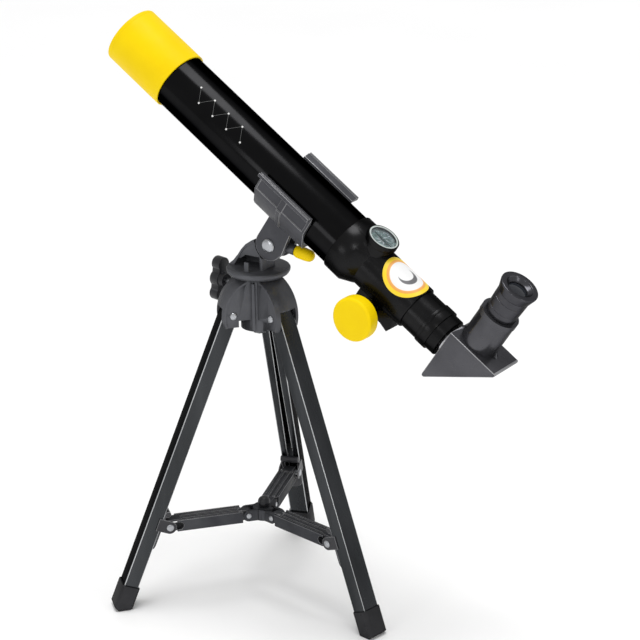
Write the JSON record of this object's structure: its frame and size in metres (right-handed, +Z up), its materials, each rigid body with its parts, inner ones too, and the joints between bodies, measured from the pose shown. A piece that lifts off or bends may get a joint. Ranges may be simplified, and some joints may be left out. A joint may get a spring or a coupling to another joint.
{
  "type": "tabletop refracting telescope on tripod",
  "caption": "Small refractor with dew shield, rack focuser, mirror diagonal and top compass on a tilting head over a folding tabletop tripod.",
  "frame": {"origin": "on the floor under the pan axis", "axes": "+X level, the way the eyepiece end points at rest; +Z up along the pan axis; the tube lies in the XZ plane"},
  "size_m": [0.3953, 0.2359, 0.4892],
  "materials": {
    "hub_plastic": "satin",
    "rivet_steel": "polished",
    "leg_metal": "satin",
    "foot_rubber": "matt",
    "bracket_plastic": "satin",
    "spreader_plastic": "satin",
    "knob_black": "semi gloss",
    "head_plastic": "satin",
    "yellow_plastic": "satin",
    "tube_black": "satin",
    "black_plastic": "satin",
    "clear_glass": "clear",
    "dial_print": "printed",
    "bezel_metal": "satin",
    "needle_red": "gloss",
    "gear_metal": "machined",
    "chrome": "polished",
    "diagonal_plastic": "satin",
    "mirror": "mirror"
  },
  "bodies": {
    "hub": {"hub": "hub_plastic", "hub_rivets": "rivet_steel"},
    "leg_1": {"leg_1": "leg_metal", "foot_1": "foot_rubber", "leg_bracket_1": "bracket_plastic", "brace_pin_1": "rivet_steel"},
    "leg_2": {"leg_2": "leg_metal", "foot_2": "foot_rubber", "leg_bracket_2": "bracket_plastic", "brace_pin_2": "rivet_steel"},
    "leg_3": {"leg_3": "leg_metal", "foot_3": "foot_rubber", "leg_bracket_3": "bracket_plastic", "brace_pin_3": "rivet_steel"},
    "spreader": {"spreader_centre": "spreader_plastic", "spreader_pins": "rivet_steel", "spreader_knob": "knob_black"},
    "arm_1": {"arm_1": "spreader_plastic"},
    "arm_2": {"arm_2": "spreader_plastic"},
    "arm_3": {"arm_3": "spreader_plastic"},
    "pan_lock": {"pan_lock_screw": "rivet_steel", "pan_lock_wing": "knob_black"},
    "turntable": {"yoke": "head_plastic", "pan_bolt": "rivet_steel"},
    "altitude_lock": {"altitude_lock_screw": "rivet_steel", "altitude_lock_knob": "yellow_plastic"},
    "tube": {"cradle": "head_plastic", "altitude_bolt": "rivet_steel", "altitude_nut": "rivet_steel", "cradle_ear_near": "head_plastic", "cradle_ear_far": "head_plastic", "main_tube": "tube_black", "hood": "yellow_plastic", "lens_cell": "black_plastic", "objective_lens": "clear_glass", "lens_ring": "black_plastic", "focuser_housing": "black_plastic", "compass_cup": "black_plastic", "compass_dial": "dial_print", "compass_pivot": "rivet_steel", "compass_glass": "clear_glass", "compass_bezel": "bezel_metal"},
    "needle": {"compass_needle": "needle_red"},
    "draw": {"draw_tube": "black_plastic", "rack": "gear_metal", "draw_collar": "black_plastic"},
    "focus_shaft": {"pinion": "gear_metal", "focus_knobs": "yellow_plastic"},
    "diagonal": {"diagonal_nose": "chrome", "diagonal_body": "diagonal_plastic", "diagonal_mirror": "mirror"},
    "eyepiece": {"eyepiece_barrel": "chrome", "eyepiece_body": "black_plastic", "eye_lens": "clear_glass", "field_lens": "clear_glass"}
  },
  "joints": [
    {"name": "leg_1_fold", "type": "hinge", "parent": "hub", "child": "leg_1", "pos_m": [0.02436, -0.00408, 0.2539], "axis": [0.165, 0.9863, 0], "range_deg": [0, 10]},
    {"name": "leg_2_fold", "type": "hinge", "parent": "hub", "child": "leg_2", "pos_m": [-0.00865, 0.02314, 0.2539], "axis": [-0.9367, -0.3502, 0], "range_deg": [0, 10]},
    {"name": "leg_3_fold", "type": "hinge", "parent": "hub", "child": "leg_3", "pos_m": [-0.01571, -0.01906, 0.2539], "axis": [0.7716, -0.6361, 0], "range_deg": [0, 10]},
    {"name": "spreader_slide", "type": "slide", "parent": "hub", "child": "spreader", "axis": [0, 0, 1], "range_m": [0, 0.0516]},
    {"name": "arm_1_fold", "type": "hinge", "parent": "spreader", "child": "arm_1", "pos_m": [0.0146, -0.00244, 0.0709], "axis": [0.165, 0.9863, 0], "range_deg": [0, 59.8]},
    {"name": "arm_2_fold", "type": "hinge", "parent": "spreader", "child": "arm_2", "pos_m": [-0.00518, 0.01386, 0.0709], "axis": [-0.9367, -0.3502, 0], "range_deg": [0, 59.8]},
    {"name": "arm_3_fold", "type": "hinge", "parent": "spreader", "child": "arm_3", "pos_m": [-0.00941, -0.01142, 0.0709], "axis": [0.7716, -0.6361, 0], "range_deg": [0, 59.8]},
    {"name": "pan", "type": "hinge", "parent": "hub", "child": "turntable", "pos_m": [0, 0, 0.284], "axis": [0, 0, 1], "continuous": true},
    {"name": "pan_lock_turn", "type": "hinge", "parent": "hub", "child": "pan_lock", "pos_m": [-0.02959, 0.00495, 0.2695], "axis": [-0.9863, 0.165, 0], "range_deg": [0, 360]},
    {"name": "altitude", "type": "hinge", "parent": "turntable", "child": "tube", "pos_m": [0.0175, 0, 0.314], "axis": [0, 1, 0], "range_deg": [-32, 6]},
    {"name": "altitude_lock_turn", "type": "hinge", "parent": "turntable", "child": "altitude_lock", "pos_m": [0.0175, 0, 0.314], "axis": [0.9885, 0, -0.1513], "range_deg": [0, 360]},
    {"name": "needle_turn", "type": "hinge", "parent": "tube", "child": "needle", "pos_m": [0.12114, 0, 0.33519], "axis": [0.5534, 0, 0.8329], "continuous": true},
    {"name": "focus_slide", "type": "slide", "parent": "tube", "child": "draw", "axis": [0.8329, 0, -0.5534], "range_m": [-0.015, 0.035]},
    {"name": "focus_turn", "type": "hinge", "parent": "tube", "child": "focus_shaft", "pos_m": [0.11663, 0, 0.27888], "axis": [0, 1, 0], "range_deg": [-160, 368]},
    {"name": "diagonal_turn", "type": "hinge", "parent": "draw", "child": "diagonal", "pos_m": [0.17427, 0, 0.26987], "axis": [0.8329, 0, -0.5534], "range_deg": [-90, 90]},
    {"name": "eyepiece_slide", "type": "slide", "parent": "diagonal", "child": "eyepiece", "axis": [0.5534, 0, 0.8329], "range_m": [0, 0.02]}
  ],
  "couplings": [
    {"joint": "leg_2_fold", "follows": "leg_1_fold", "ratio": 1},
    {"joint": "leg_3_fold", "follows": "leg_1_fold", "ratio": 1},
    {"joint": "spreader_slide", "follows": "leg_1_fold", "m_per_rad": 0.29507},
    {"joint": "arm_1_fold", "follows": "leg_1_fold", "ratio": 5.9621},
    {"joint": "arm_2_fold", "follows": "leg_1_fold", "ratio": 5.9621},
    {"joint": "arm_3_fold", "follows": "leg_1_fold", "ratio": 5.9621},
    {"joint": "focus_turn", "follows": "focus_slide", "rad_per_m": 181.82}
  ]
}
